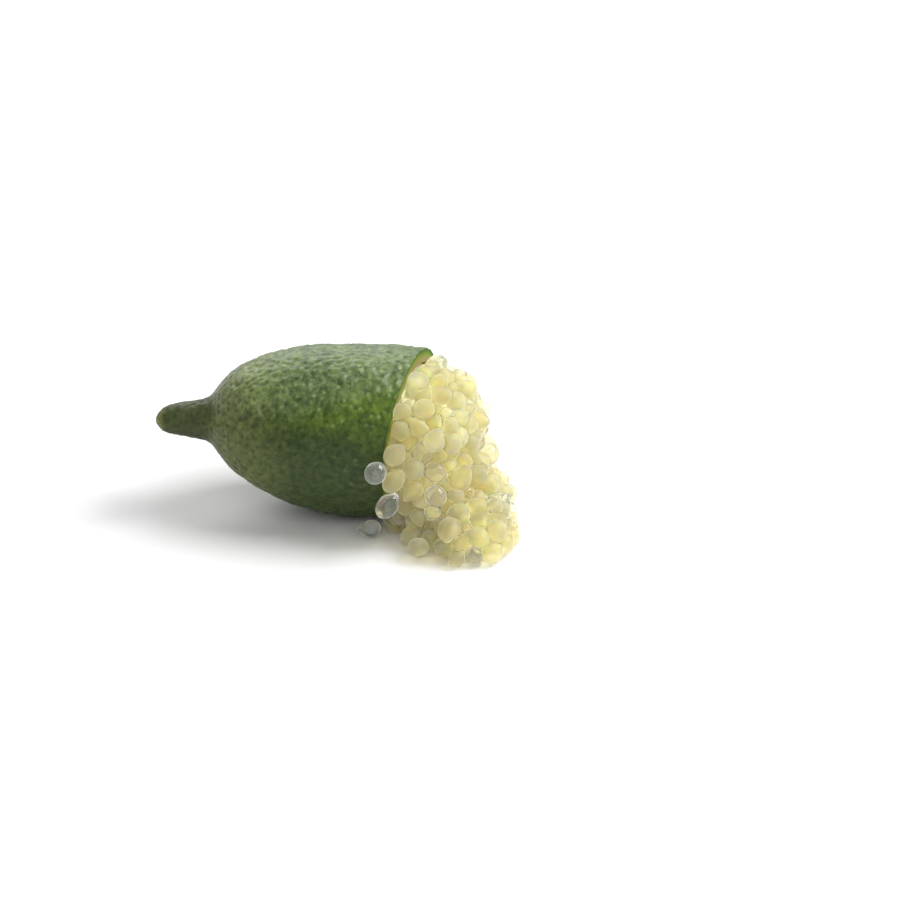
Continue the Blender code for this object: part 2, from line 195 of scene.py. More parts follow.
# Pearls that show plainly on the near side: name of their look, place and radius
HELD_PEARLS = (
    ("glass", (1.8 * MM, -12.6 * MM, 10.6 * MM), 1.46 * MM),
    ("glass", (3.15 * MM, -11.8 * MM, 5.85 * MM), 1.42 * MM),
    ("cloudy", (3.95 * MM, -12.1 * MM, 9.3 * MM), 1.38 * MM),
    ("cloudy", (4.05 * MM, -11.2 * MM, 12.33 * MM), 1.43 * MM),
    ("cloudy", (4.85 * MM, -8.0 * MM, 16.5 * MM), 1.3 * MM),
    ("cloudy", (4.75 * MM, -9.2 * MM, 14.6 * MM), 1.36 * MM),
    ("cloudy", (6.7 * MM, -3.3 * MM, 18.3 * MM), 1.72 * MM),
    ("cloudy", (9.3 * MM, -3.0 * MM, 18.1 * MM), 1.4 * MM),
    ("cloudy", (8.5 * MM, 0.2 * MM, 19.0 * MM), 1.0 * MM),
    ("clear", (9.7 * MM, 0.4 * MM, 18.7 * MM), 0.6 * MM),
    ("cloudy", (11.7 * MM, 0.4 * MM, 17.6 * MM), 1.18 * MM),
    ("cloudy", (13.1 * MM, -0.4 * MM, 15.1 * MM), 1.25 * MM),
    ("cloudy", (7.5 * MM, -7.1 * MM, 16.5 * MM), 1.48 * MM),
    ("cloudy", (11.4 * MM, -4.2 * MM, 16.3 * MM), 1.42 * MM),
    ("clear", (10.2 * MM, -6.1 * MM, 15.5 * MM), 1.0 * MM),
    ("cloudy", (12.9 * MM, -4.5 * MM, 13.4 * MM), 1.3 * MM),
    ("cloudy", (13.2 * MM, -5.3 * MM, 11.3 * MM), 1.3 * MM),
    ("cloudy", (8.8 * MM, -8.9 * MM, 13.1 * MM), 1.58 * MM),
    ("cloudy", (6.7 * MM, -9.0 * MM, 15.0 * MM), 1.3 * MM),
    ("cloudy", (6.3 * MM, -10.6 * MM, 10.2 * MM), 1.46 * MM),
    ("cloudy", (6.3 * MM, -11.2 * MM, 7.7 * MM), 1.34 * MM),
    ("cloudy", (5.3 * MM, -10.6 * MM, 5.3 * MM), 1.22 * MM),
    ("cloudy", (6.0 * MM, -11.6 * MM, 1.5 * MM), 1.47 * MM),
    ("clear", (4.6 * MM, -9.6 * MM, 3.2 * MM), 0.95 * MM),
)
LOOSE_PLACE = (1.0 * MM, -8.75 * MM, 1.22 * MM)
LOOSE_RADIUS = 1.24 * MM
LOOSE_WAY = Vector((-0.97, -0.2, 0.05)).normalized()

# What the flesh and the wet skins of the pearls share
FLESH = {
    "Subsurface_Weight": 1.0,
    "Subsurface_Radius": (1.0, 0.8, 0.4),
    "Subsurface_Scale": 3.0 * MM,
}
WET_SKIN = {
    "Transmission_Weight": 0.93,
    "Sheen_Weight": 1.0,
    "Coat_Weight": 0.5,
    "Coat_Roughness": 0.08,
}
MILK = (0.95, 0.93, 0.75)

# Studio: (name, place, size, power) of each softbox, in metres and watts
SOFTBOXES = (
    ("side_softbox", (0.26, 0.02, 0.3), (0.25, 0.25), 1.82),
    ("back_softbox", (-0.1, 0.31, 0.26), (0.45, 0.3), 0.68),
    ("front_softbox", (0.0, -0.35, 0.3), (0.3, 0.3), 0.46),
)
LIGHT_AIM = (0.0, 0.0, 0.01)
ROOM_LIGHT = 0.31
FLOOR_SIZE = 6.0
FLOOR_GREY = 0.92
CAMERA_PLACE = (0.0107, -0.24179, 0.12054)
CAMERA_TILT = math.radians(65.0)
LENS_LENGTH = 85.0
FILM_WIDTH = 36.0
NEAREST_SEEN = 0.01


def smooth_step(low, high, value):
    share = min(1.0, max(0.0, (value - low) / (high - low)))
    return share * share * (3.0 - 2.0 * share)


def peel_radius(station):
    """Outer radius of the turned form, this far from the neck's tip."""
    tip = min(1.0, max(0.0, station / TIP_LENGTH))
    neck = (NECK_RADIUS + NECK_FLARE * station) * math.sqrt(1.0 - (1.0 - tip) ** 2)
    back = station - BELLY_STATION
    if back < 0.0:
        share = min(1.0, -back / SHOULDER_LENGTH) ** SHOULDER_POWER
    else:
        share = min(1.0, back / MOUTH_LENGTH) ** 2
    belly = BELLY_RADIUS * math.sqrt(1.0 - share)
    return (neck**JOIN_SHARPNESS + belly**JOIN_SHARPNESS) ** (1.0 / JOIN_SHARPNESS)


def axis_height(station):
    """Height of the fruit's middle line above the floor."""
    return AXIS_HEIGHT + NECK_LIFT * (1.0 - smooth_step(*NECK_LIFT_SPAN, station))


def deselect_all():
    if bpy.context.object and bpy.context.object.mode != "OBJECT":
        bpy.ops.object.mode_set(mode="OBJECT")
    bpy.ops.object.select_all(action="DESELECT")


def choose(thing):
    """Makes the object the only one selected, and the active one."""
    deselect_all()
    thing.select_set(True)
    bpy.context.view_layer.objects.active = thing
    return thing


def apply_modifier(thing, kind, **settings):
    choose(thing)
    modifier = thing.modifiers.new(kind.lower(), kind)
    for name, value in settings.items():
        setattr(modifier, name, value)
    bpy.ops.object.modifier_apply(modifier=modifier.name)


def points_of(mesh):
    points = np.empty(len(mesh.vertices) * 3)
    mesh.vertices.foreach_get("co", points)
    return points.reshape(-1, 3)


def set_points(mesh, points):
    mesh.vertices.foreach_set("co", np.asarray(points).ravel())
    mesh.update()


def write_attribute(mesh, name, values):
    made = mesh.attributes.new(name, "FLOAT", "POINT")
    made.data.foreach_set("value", np.asarray(values, dtype=np.float32))


def tint_all(mesh, tint, blush):
    """Gives a whole pearl its tint and blush."""
    write_attribute(mesh, "tint", [tint] * len(mesh.vertices))
    write_attribute(mesh, "blush", [blush] * len(mesh.vertices))


class Amount:
    """A number in a material: arithmetic on it writes the material's Math nodes."""

    def __init__(self, finish, socket):
        self.finish = finish
        self.socket = socket

    def maths(self, operation, first, second=0.0):
        made = self.finish.node("Math", {"operation": operation}, {0: first, 1: second})
        return Amount(self.finish, made.outputs[0])

    def __add__(self, other):
        return self.maths("ADD", self, other)

    def __sub__(self, other):
        return self.maths("SUBTRACT", self, other)

    def __rsub__(self, other):
        return self.maths("SUBTRACT", other, self)

    def __mul__(self, other):
        return self.maths("MULTIPLY", self, other)

    __radd__ = __add__
    __rmul__ = __mul__


class Finish:
    """One material of the object, around a Principled shader."""

    def __init__(self, name, **constants):
        self.material = bpy.data.materials.new(name)
        self.material.use_nodes = True
        self.tree = self.material.node_tree
        self.shader = self.tree.nodes["Principled BSDF"]
        self.place = None
        self.set_inputs({name.replace("_", " "): value for name, value in constants.items()})

    def set_inputs(self, values):
        """Sets or links the shader's inputs by name."""
        for name, value in values.items():
            self.feed(self.shader.inputs[name], value)

    def feed(self, socket, value):
        if isinstance(value, Amount):
            self.tree.links.new(value.socket, socket)
        elif isinstance(value, bpy.types.NodeSocket):
            self.tree.links.new(value, socket)
        elif isinstance(value, tuple) and len(value) == 3 and socket.type == "RGBA":
            socket.default_value = (*value, 1.0)
        else:
            socket.default_value = value

    def node(self, kind, settings=None, inputs=None):
        """Adds a node: its settings first, then the values or links of its sockets."""
        made = self.tree.nodes.new("ShaderNode" + kind)
        for name, value in (settings or {}).items():
            if name == "stops":
                self.set_stops(made.color_ramp, value)
            else:
                setattr(made, name, value)
        for name, value in (inputs or {}).items():
            self.feed(made.inputs[name], value)
        return made

    @staticmethod
    def set_stops(ramp, stops):
        while len(ramp.elements) < len(stops):
            ramp.elements.new(1.0)
        for element, (position, colour) in zip(ramp.elements, stops):
            element.position = position
            element.color = (*colour, 1.0)

    def object_place(self):
        if self.place is None:
            self.place = self.node("TexCoord").outputs["Object"]
        return self.place

    def attribute(self, name):
        return Amount(self, self.node("Attribute", {"attribute_name": name}).outputs["Fac"])

    def noise(self, pitch, detail=2.0, roughness=0.5):
        """Soft noise from 0 to 1 whose patches are about one pitch across."""
        inputs = {
            "Vector": self.object_place(),
            "Scale": 1.0 / pitch,
            "Detail": detail,
            "Roughness": roughness,
        }
        return Amount(self, self.node("TexNoise", None, inputs).outputs["Fac"])

    def axis(self, name):
        split = self.node("SeparateXYZ", None, {"Vector": self.object_place()})
        return Amount(self, split.outputs[name])

    def rise(self, low, high, value):
        """0 below low, 1 above high, and smooth between."""
        inputs = {"Value": value, "From Min": low, "From Max": high}
        made = self.node("MapRange", {"interpolation_type": "SMOOTHSTEP"}, inputs)
        return Amount(self, made.outputs["Result"])

    def mix(self, share, first, second):
        made = self.node("Mix", {"data_type": "RGBA"}, {0: share, 6: first, 7: second})
        return made.outputs[2]

    def bump(self, height, distance, strength=1.0, under=None):
        inputs = {"Height": height, "Distance": distance, "Strength": strength}
        if under is not None:
            inputs["Normal"] = under
        return self.node("Bump", None, inputs).outputs["Normal"]

    def wear(self, thing):
        thing.data.materials.clear()
        thing.data.materials.append(self.material)


def skin_zones(finish, patches):
    """From 0 to 1, how far each place of the skin is shoulder, neck, underside, tip, low side or crown."""
    along = finish.axis("X")
    height = finish.axis("Z")
    painted_shade_line = height + along * 0.2 + patches * (3.0 * MM)
    crown_line = height - along * 0.2 + patches * (3.0 * MM)
    return {
        "shoulder": 1.0 - finish.rise(-16.0 * MM, -5.0 * MM, along + patches * (4.0 * MM)),
        "neck": 1.0 - finish.rise(-19.5 * MM, -16.0 * MM, along + patches * (1.5 * MM)),
        # underside: where painted shade darkens the neck
        "under": 1.0 - finish.rise(10.6 * MM, 12.6 * MM, height + patches * (1.2 * MM)),
        "tip": 1.0 - finish.rise(-25.6 * MM, -23.6 * MM, along + patches * (1.5 * MM)),
        # low side: where painted shade darkens the skin
        "low": 1.0 - finish.rise(13.0 * MM, 19.5 * MM, painted_shade_line),
        # crown: where painted sheen pales the skin and the wax coat thickens
        "crown": finish.rise(18.6 * MM, 22.0 * MM, crown_line),
    }


def skin_green(finish, zones, patches, fine):
    """The skin's colour: mottled greens, dark and pale glands, a netted shoulder and a brownish neck;
    painted shade darkens the low side, the underside of the neck and the glands' pits, painted sheen pales
    the crown, painted glints sit on the pale gland specks and painted light brightens the upper shoulder.
    """
    shoulder, low, neck = zones["shoulder"], zones["low"], zones["neck"]
    pit = finish.attribute("pit")
    gland = finish.attribute("gland")
    mottle = finish.rise(0.3, 0.72, finish.noise(0.8 * MM, 3.0, 0.6))
    dark_green = finish.mix(mottle, *BELLY_DARK)
    light_green = finish.mix(mottle, *BELLY_LIGHT)
    green = finish.mix(finish.rise(0.35, 0.65, patches), dark_green, light_green)
    # Painted shade: the low side turns to darker greens
    green = finish.mix(low * 0.95, green, finish.mix(mottle, *PAINTED_SHADE_LOW_SIDE))
    # Painted sheen: the crown, more so on the shoulder, pales to a grey-green
    green = finish.mix(zones["crown"] * mottle * (0.55 + shoulder * 0.3), green, PAINTED_SHEEN_CROWN)
    # The shoulder's pale net, partly painted light, thinner on the shaded low side
    net_and_painted_light = finish.mix(mottle, *SHOULDER_NET_AND_PAINTED_LIGHT)
    green = finish.mix(shoulder * (1.0 - low * 0.45) * 0.75, green, net_and_painted_light)
    # Dark glands, darkened more in their sunken pits as painted shade
    pit_dark_and_shade = finish.rise(0.2, 0.85, pit + (fine - 0.5) * 0.8) * (0.3 + shoulder * 0.38)
    green = finish.mix(pit_dark_and_shade, green, DARK_GLAND_AND_PIT_SHADE)
    # Pale gland specks, also painted glints, fewer on the shaded low side
    speck_and_glint_share = finish.rise(0.4, 1.0, gland) * (1.0 - shoulder) * (1.0 - low * 0.75)
    pale = finish.rise(1.15, 1.9, pit + gland) * speck_and_glint_share
    green = finish.mix(pale * 0.8, green, PALE_GLAND_AND_GLINT)
    # A greyer painted shade on the low side of the shoulder
    green = finish.mix(shoulder * low * 0.3, green, PAINTED_SHADE_LOW_SHOULDER)
    green = finish.mix(neck * 0.75, green, NECK_GREEN)
    # Painted shade under the neck
    green = finish.mix(neck * zones["under"] * 0.7, green, PAINTED_SHADE_NECK_UNDERSIDE)
    return finish.mix(zones["tip"] * (0.25 + mottle * 0.6), green, TIP_OLIVE)


def skin_finish():
    """Waxy green skin with sunken oil glands; the wall's depth colours the cut face and the lining."""
    finish = Finish("lime_peel", IOR=1.5, Specular_IOR_Level=0.25, Coat_Roughness=0.4)
    depth = finish.attribute("depth")
    patches = finish.noise(4.2 * MM, 3.0)
    fine = finish.noise(0.45 * MM, 3.0)
    zones = skin_zones(finish, patches)
    green = skin_green(finish, zones, patches, fine)
    through = finish.rise(0.0, WALL_SHADES_DEPTH, depth + (fine - 0.5) * 0.15)
    wall = finish.node("ValToRGB", {"stops": WALL_SHADES}, {"Fac": through})
    inside = finish.rise(0.02, 0.09, depth)
    roughness = 0.38 + fine * 0.14 + finish.attribute("pit") * 0.1 + inside * 0.3
    wax = (0.05 + zones["crown"] * 0.95) * (1.0 - inside)
    curls = finish.bump(finish.noise(0.6 * MM, 2.0), 0.12 * MM, 0.8)
    relief = finish.bump(finish.noise(0.22 * MM, 4.0), 0.05 * MM, 0.5, curls)
    finish.set_inputs(
        {
            "Base Color": finish.mix(inside, green, wall.outputs["Color"]),
            "Roughness": roughness,
            "Coat Weight": wax,
            "Normal": relief,
        }
    )
    return finish


def pearl_finish(name, colours, haze, **constants):
    """Wet juice skin in a pale, a warm and a deep colour, mixed by each pearl's own tint and blush."""
    finish = Finish(name, **constants)
    pale, warm, deep = colours
    cloud = finish.noise(1.3 * MM, 2.0)
    colour = finish.mix(finish.attribute("tint"), pale, warm)
    colour = finish.mix(finish.attribute("blush") * 0.7, colour, deep)
    colour = finish.mix(finish.rise(0.45, 0.75, cloud) * 0.3, colour, MILK)
    finish.set_inputs({"Base Color": colour, "Roughness": haze + cloud * haze})
    return finish


def cloudy_pearls():
    """Most of the heap: pale yellow, with soft edges."""
    return pearl_finish(
        "pearl_cloudy",
        ((0.985, 0.97, 0.77), (0.975, 0.925, 0.6), (0.97, 0.87, 0.56)),
        0.1,
        IOR=1.06,
        Transmission_Weight=0.86,
        Sheen_Weight=0.4,
        Sheen_Roughness=0.45,
        Coat_Weight=0.35,
        Coat_Roughness=0.15,
        **FLESH,
    )


def clear_pearls():
    """A few of the heap, which let their neighbours show through."""
    colours = ((0.99, 0.99, 0.9), (0.98, 0.98, 0.82), (0.98, 0.92, 0.78))
    return pearl_finish("pearl_clear", colours, 0.04, IOR=1.12, Sheen_Roughness=0.45, **WET_SKIN, **FLESH)


def glass_pearls():
    """Pearls that stand alone, like drops of water."""
    colours = ((0.97, 0.98, 0.9), (0.95, 0.95, 0.84), (0.93, 0.9, 0.8))
    return pearl_finish("pearl_glass", colours, 0.04, IOR=1.33, Sheen_Roughness=0.42, **WET_SKIN, **FLESH)


def glowing_inner_pearls():
    """The milky pearls inside the heap, with a faint emission: a painted glow that stands in for light
    scattered through the heap.
    """
    return pearl_finish(
        "pearl_inner_painted_glow",
        ((0.99, 0.95, 0.66), (0.98, 0.9, 0.55), (0.96, 0.82, 0.48)),
        0.15,
        IOR=1.2,
        Transmission_Weight=0.2,
        Sheen_Weight=0.5,
        Sheen_Roughness=0.5,
        Subsurface_Weight=1.0,
        Subsurface_Radius=(1.0, 0.75, 0.35),
        Subsurface_Scale=3.0 * MM,
        # Painted glow: a faint warm emission in place of light scattered in from the outer pearls
        Emission_Color=(0.85, 0.79, 0.48),
        Emission_Strength=0.09,
    )


def stations_along_skin(count):
    """Stations from the tip to the cut, the same way apart along the outline."""
    length = CUT_STATION - TIP_START
    fine = [TIP_START + length * (i / OUTLINE_STEPS) ** 2 for i in range(OUTLINE_STEPS + 1)]
    way = [0.0]
    for before, after in zip(fine, fine[1:]):
        way.append(way[-1] + math.hypot(after - before, peel_radius(after) - peel_radius(before)))
    steps = [way[-1] * i / (count - 1) for i in range(count)]
    return [float(np.interp(step, way, fine)) for step in steps]


def lean_into_cut(station, depth, up, side):
    """The station of a place so that the last ring lies in the cut's plane."""
    if station <= LEAN_START:
        return station
    met = CUT_STATION
    for _ in range(LEAN_ROUNDS):
        radius = peel_radius(met) - depth
        met = CUT_STATION - (CUT_NORMAL.y * side * radius + CUT_NORMAL.z * up * radius) / CUT_NORMAL.x
    share = (station - LEAN_START) / (CUT_STATION - LEAN_START)
    return LEAN_START + share * (met - LEAN_START)


def draw_rings():
    """The peel's two-walled cage, drawn ring by ring from the tip, over the rim and back into the cup."""
    stations = stations_along_skin(SKIN_RINGS)
    rings = [(station, peel_radius(station)) for station in stations]
    rings += [(CUT_STATION, peel_radius(CUT_STATION) - depth) for depth in RIM_DEPTHS]
    for number in range(LINING_RINGS + 1):
        station = CUT_STATION + (CAVITY_START - CUT_STATION) * number / LINING_RINGS
        rings.append((station, peel_radius(station) - WALL))
    deselect_all()
    (station, radius), *others = rings
    bpy.ops.mesh.primitive_circle_add(
        vertices=PEEL_SIDES,
        radius=radius,
        fill_type="TRIFAN",
        location=(station, 0.0, 0.0),
        rotation=(0.0, math.pi / 2, 0.0),
    )
    cage = bpy.context.object
    cage.name = "peel_skin"
    bpy.ops.object.transform_apply(location=True, rotation=True, scale=True)
    bpy.ops.object.mode_set(mode="EDIT")
    bpy.ops.mesh.select_mode(type="EDGE")
    bpy.ops.mesh.select_all(action="SELECT")
    bpy.ops.mesh.region_to_loop()
    for next_station, next_radius in others:
        move = {"value": (next_station - station, 0.0, 0.0)}
        bpy.ops.mesh.extrude_edges_move(TRANSFORM_OT_translate=move)
        size = next_radius / radius
        bpy.ops.transform.resize(value=(1.0, size, size), center_override=(next_station, 0.0, 0.0))
        station, radius = next_station, next_radius
    bpy.ops.mesh.extrude_edges_move(TRANSFORM_OT_translate={"value": (0.0, 0.0, 0.0)})
    bpy.ops.mesh.merge(type="CENTER")
    bpy.ops.mesh.select_all(action="SELECT")
    bpy.ops.mesh.normals_make_consistent(inside=False)
    bpy.ops.object.mode_set(mode="OBJECT")
    return cage


def lay_down(mesh):
    """Leans the straight rings into the cut and lays the form on its bent middle line."""
    for vertex in mesh.vertices:
        station, side, up = vertex.co
        spoke = math.hypot(side, up)
        outer = peel_radius(station)
        depth = min(WALL, max(0.0, outer - spoke)) if station > CAVITY_START - TIP_LENGTH else 0.0
        if spoke > 0.0:
            met = lean_into_cut(station, depth, up / spoke, side / spoke)
            reach = (peel_radius(met) - depth) / spoke
            station, side, up = met, side * reach, up * reach
        vertex.co = (station - BELLY_STATION, side, up + axis_height(station))
    mesh.update()


def oil_glands():
    """The skin's oil glands, in uneven rows a pitch apart: a tree of places and each one's own number."""
    draw = random.Random(GLAND_SEED)
    round_off, along_off = GLAND_SCATTER
    places = []
    for station in stations_along_skin(round(SKIN_LENGTH / GLAND_PITCH)):
        radius = peel_radius(station)
        number = max(1, round(2.0 * math.pi * radius / GLAND_PITCH))
        start = draw.random()
        for step in range(number):
            turn = 2.0 * math.pi * (step + start + draw.uniform(-round_off, round_off)) / number
            along = station + draw.uniform(-along_off, along_off) * GLAND_PITCH
            side, up = math.cos(turn) * radius, math.sin(turn) * radius
            met = lean_into_cut(along, 0.0, up / radius, side / radius)
            places.append((met - BELLY_STATION, side, up + axis_height(met)))
    tree = kdtree.KDTree(len(places))
    for number, place in enumerate(places):
        tree.insert(place, number)
    tree.balance()
    return tree, [draw.random() for _ in places]


def pebble_skin(mesh):
    """Sinks pits at the glands, raises grain, lumps and swells, and writes the pits and the wall's depth."""
    glands, numbers = oil_glands()
    depths, pits, own = [], [], []
    for vertex in mesh.vertices:
        place = vertex.co
        station = place.x + BELLY_STATION
        out = Vector((0.0, place.y, place.z - axis_height(station)))
        spoke = out.length
        depth = max(0.0, peel_radius(station) - spoke)
        if station < CAVITY_START - TIP_LENGTH or spoke < ON_AXIS:
            depth = 0.0
        out = out.normalized() if spoke > ON_AXIS else Vector((-1.0, 0.0, 0.0))
        _, nearest, away = glands.find(place)
        pit = 1.0 - smooth_step(*PIT_REACH, away)
        if depth < RIM_FADE:
            grown = smooth_step(0.0, NECK_END, station)
            grain = GRAIN_HEIGHT * noise.noise(place / GRAIN_PITCH)
            lump = LUMP_HEIGHT * noise.noise(place / LUMP_PITCH)
            swell = SWELL_HEIGHT * noise.noise(place / SWELL_PITCH) * grown
            pebble = PEBBLE_HEIGHT * noise.noise(place / PEBBLE_PITCH)
            pebble *= NECK_PEBBLE + (1.0 - NECK_PEBBLE) * grown
            relief = SKIN_RISE + grain + pebble + lump + swell - PIT_DEPTH * pit
            relief *= smooth_step(*SMOOTH_SPOT, place.length) * (1.0 - smooth_step(0.0, RIM_FADE, depth))
            vertex.co = place + out * relief
        depths.append(depth / MM)
        pits.append(pit)
        own.append(numbers[nearest])
    set_points(mesh, np.clip(points_of(mesh), CAD_BOX[0], CAD_BOX[1]))
    write_attribute(mesh, "depth", depths)
    write_attribute(mesh, "pit", pits)
    write_attribute(mesh, "gland", own)
    mesh.update()


def make_peel(finish):
    peel = draw_rings()
    lay_down(peel.data)
    apply_modifier(peel, "SUBSURF", levels=FINE_LEVELS, render_levels=FINE_LEVELS)
    pebble_skin(peel.data)
    peel.data.shade_smooth()
    finish.wear(peel)
    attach(peel, "root")
    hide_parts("peel")
    return peel


def off_core(places):
    """(distance from the nearest core form, outward direction) at each place, near enough."""
    nearest = np.full(len(places), np.inf)
    outward = np.zeros_like(places)
    for centre, half in CORE_FORMS:
        away = places - np.array(centre)
        scaled = np.linalg.norm(away / np.array(half), axis=1)
        slope = away / np.array(half) ** 2
        steep = np.linalg.norm(slope, axis=1)
        distance = scaled * (scaled - 1.0) / np.maximum(steep, TINY)
        closer = distance < nearest
        nearest = np.where(closer, distance, nearest)
        outward[closer] = (slope / np.maximum(steep, TINY)[:, None])[closer]
    return nearest, outward


def clear_of_peel(places, reach):
    """Moves each place, whose pearl needs this reach, off the walls of the cut peel."""
    normal = np.array(CUT_NORMAL)
    ahead = (places - np.array(CUT_CENTRE)) @ normal
    across = places[:, 1:] - np.array([0.0, AXIS_HEIGHT])
    spoke = np.linalg.norm(across, axis=1)
    beside = places[:, 0] - normal[0] * np.maximum(ahead, 0.0)
    outer = np.array([peel_radius(x + BELLY_STATION) for x in beside])
    inner = outer - WALL
    unit = across / np.maximum(spoke, TINY)[:, None]
    # Behind the cut a pearl keeps inside the lining or outside the skin.
    in_mouth = (ahead < 0.0) & (spoke < (inner + outer) / 2)
    outside = (ahead < 0.0) & ~in_mouth
    wanted = np.where(in_mouth, np.minimum(spoke, inner - reach), spoke)
    wanted = np.where(outside, np.maximum(spoke, outer + reach), wanted)
    places[:, 1:] += unit * (wanted - spoke)[:, None]
    # Before the cut it keeps off the nearest place of the rim.
    on_rim = np.clip(spoke, inner, outer)
    side = spoke - on_rim
    gap = np.hypot(np.maximum(ahead, 0.0), side)
    short = (ahead >= 0.0) & (gap < reach)
    push = np.where(short, reach - gap, 0.0)
    share = 1.0 / np.maximum(gap, TINY)
    places += normal * (push * np.maximum(ahead, 0.0) * share + push * (gap < 1e-6))[:, None]
    places[:, 1:] += unit * (push * side * share)[:, None]


def rest_on_peel(points, place):
    """Moves a pearl's points out of the peel's wall: onto the cut face, or sideways where that is nearer."""
    ahead = (points - np.array(CUT_CENTRE)) @ np.array(CUT_NORMAL)
    across = points[:, 1:] - np.array([0.0, AXIS_HEIGHT])
    spoke = np.maximum(np.linalg.norm(across, axis=1), TINY)
    outer = np.array([peel_radius(x + BELLY_STATION) for x in points[:, 0]])
    forward = PRESS_GAP - ahead
    inward = spoke - (outer - WALL - PRESS_GAP)
    outward = outer + PRESS_GAP - spoke
    outside = math.hypot(place[1], place[2] - AXIS_HEIGHT) > peel_radius(place[0] + BELLY_STATION)
    hit = (forward > 0.0) & (inward > 0.0) & ((outward > 0.0) if outside else True)
    sideways = outward if outside else inward
    slide = hit & (sideways < forward)
    push = np.where(slide, sideways, 0.0) * (1.0 if outside else -1.0)
    points[:, 1:] += across * (push / spoke)[:, None]
    points += np.array(CUT_NORMAL) * np.where(hit & ~slide, forward, 0.0)[:, None]


def scatter(draw, count):
    """Starting places on the core's forms, in front of the cut."""
    surface = [math.prod(half) ** (2 / 3) for _, half in CORE_FORMS]
    places = []
    while len(places) < count:
        centre, half = draw.choices(CORE_FORMS, surface)[0]
        way = np.array([draw.gauss(0.0, 1.0) for _ in range(3)])
        place = np.array(centre) + np.array(half) * way / np.linalg.norm(way)
        ahead = (place - np.array(CUT_CENTRE)) @ np.array(CUT_NORMAL)
        off, _ = off_core(place[None, :])
        if ahead > -BEHIND_CUT and place[2] > 0.0 and off[0] > LEAST_OFF_CORE:
            places.append(place)
    return places


def bed_places():
    """Places on the floor under and round the heap, in a widening spiral."""
    turn = math.pi * (3.0 - math.sqrt(5.0))
    middle, half = BED
    places = []
    for number in range(BED_PEARLS):
        share = math.sqrt((number + 0.5) / BED_PEARLS)
        x = middle[0] + half[0] * share * math.cos(number * turn)
        y = middle[1] + half[1] * share * math.sin(number * turn)
        places.append(np.array([x, y, 0.0]))
    return places


def settle_pearls(draw):
    """(places, radii, layers) of the pearls: they crowd onto the core, push apart and clear the peel."""
    places = np.array(bed_places() + scatter(draw, OUTER_PEARLS) + scatter(draw, INNER_PEARLS))
    layers = ["bed"] * BED_PEARLS + ["outer"] * OUTER_PEARLS + ["inner"] * INNER_PEARLS
    count = len(places)
    bed = np.array([layer == "bed" for layer in layers])
    radii = np.array([draw.uniform(*PEARL_RADIUS) for _ in range(count)])
    stand = np.array([draw.uniform(*(INNER_STAND if layer == "inner" else OUTER_STAND)) for layer in layers])
    reach = radii + PEEL_GAP
    held = np.array([place for _, place, _ in HELD_PEARLS] + [LOOSE_PLACE])
    held_radii = np.array([radius for _, _, radius in HELD_PEARLS] + [LOOSE_RADIUS * LOOSE_ROOM])
    every_radius = np.concatenate([radii, held_radii])
    least = (every_radius[:, None] + every_radius[None, :]) * CROWDING
    for _ in range(SETTLING_ROUNDS):
        every = np.concatenate([places, held])
        apart = every[:, None, :] - every[None, :, :]
        distance = np.linalg.norm(apart, axis=2)
        np.fill_diagonal(distance, np.inf)
        overlap = np.maximum(0.0, least - distance)
        push = (apart / distance[:, :, None] * overlap[:, :, None]).sum(axis=1) * SETTLING_PUSH
        places += push[:count]
        off, outward = off_core(places)
        places -= outward * np.where(bed, 0.0, (off - stand) * SETTLING_PULL)[:, None]
        clear_of_peel(places, reach)
        places[:, 0] = np.minimum(places[:, 0], CAD_BOX[1].x - reach)
        places[:, 1] = np.maximum(places[:, 1], CAD_BOX[0].y + reach)
        on_floor = radii + FLOOR_GAP
        places[:, 2] = np.where(bed, on_floor, np.maximum(places[:, 2], on_floor))
    places = np.concatenate([places, held[:-1]])
    radii = np.concatenate([radii, held_radii[:-1]])
    return places, radii, layers + [look for look, _, _ in HELD_PEARLS]


def shape_drop(name, narrow, tail, squash, stretch=1.0):
    """A juice pearl, a metre in radius: a ball narrowed to one end, with a small tail, then refined."""
    deselect_all()
    bpy.ops.mesh.primitive_uv_sphere_add(segments=DROP_SEGMENTS, ring_count=DROP_RINGS, radius=1.0)
    drop = bpy.context.object
    drop.name = name
    bpy.ops.object.mode_set(mode="EDIT")
    bpy.ops.mesh.select_mode(type="VERT")
    # Above each height the ball is drawn in by a share and lifted, and the last one is the tail's point.
    for above, share, lift in ((0.3, narrow, 0.0), (0.75, narrow, tail * 0.5), (0.97, 1.0, tail)):
        bpy.ops.mesh.select_all(action="DESELECT")
        bpy.ops.object.mode_set(mode="OBJECT")
        for vertex in drop.data.vertices:
            vertex.select = vertex.co.z > above
        bpy.ops.object.mode_set(mode="EDIT")
        bpy.ops.transform.resize(value=(share, share, 1.0), center_override=(0.0, 0.0, above))
        bpy.ops.transform.translate(value=(0.0, 0.0, lift))
    bpy.ops.mesh.select_all(action="SELECT")
    bpy.ops.transform.resize(value=(1.0, squash, stretch), center_override=(0.0, 0.0, 0.0))
    bpy.ops.object.mode_set(mode="OBJECT")
    apply_modifier(drop, "SUBSURF", levels=1, render_levels=1)
    drop.data.shade_smooth()
    return drop


def laid(place, way, radius):
    """The move that gives a drop its size, points its tail this way and puts it in its place."""
    turn = Vector((0.0, 0.0, 1.0)).rotation_difference(way).to_matrix().to_4x4()
    return Matrix.Translation(place) @ turn @ Matrix.Scale(radius, 4)


